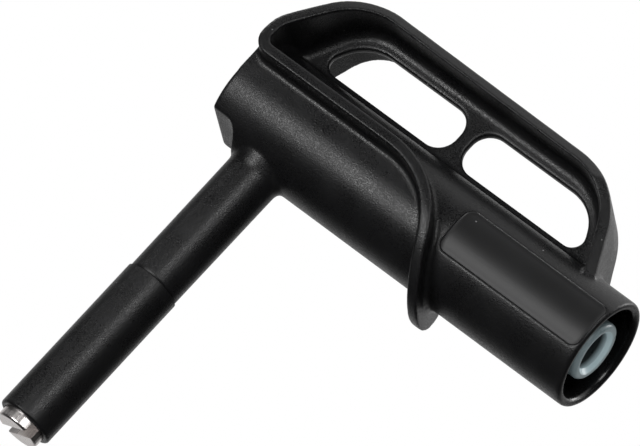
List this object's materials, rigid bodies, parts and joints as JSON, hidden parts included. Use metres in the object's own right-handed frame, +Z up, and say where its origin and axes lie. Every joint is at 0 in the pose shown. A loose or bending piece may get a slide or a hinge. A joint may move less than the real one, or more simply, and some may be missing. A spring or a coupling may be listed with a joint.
{
  "type": "magnetic test adapter",
  "caption": "Right-angle magnetic test probe with a finned finger grip, a sprung slotted contact and a shrouded safety socket for a test lead.",
  "frame": {"origin": "centre of the contact face at the end of the probe", "axes": "+Z up the probe's axis, +X out of the socket's mouth, symmetric about the XZ plane apart from the contact's turned slot"},
  "size_m": [0.0458, 0.0166, 0.0555],
  "materials": {
    "black_nylon": "fine spark-eroded black polyamide with a soft sheen",
    "grey_plastic": "semi-gloss blue-grey insulating plastic",
    "nickel": "satin nickel plating on brass",
    "magnet": "nickel-plated sintered magnet",
    "steel": "plain bright steel",
    "brass": "plain turned brass",
    "rubber": "black nitrile seal"
  },
  "bodies": {
    "grip": {"handle_body": "black_nylon", "probe_sleeve": "black_nylon", "tip_spring": "steel", "stop_pin": "steel", "probe_rod": "brass", "lock_washer": "steel", "probe_seal": "rubber", "conductor_bar": "brass", "bar_seal": "rubber", "socket_sleeve": "grey_plastic", "retaining_ring": "steel", "socket_contact": "nickel", "spring_cage": "brass"},
    "tip": {"contact_tip": "nickel", "tip_magnet": "magnet", "back_iron": "steel", "tip_stem": "brass"}
  },
  "joints": [
    {"name": "tip_slide", "type": "slide", "parent": "grip", "child": "tip", "axis": [0, 0, 1], "range_m": [0, 0.0008], "stiffness_N_per_m": 640, "springref_m": -0.001, "deforming": ["tip_spring"]}
  ]
}
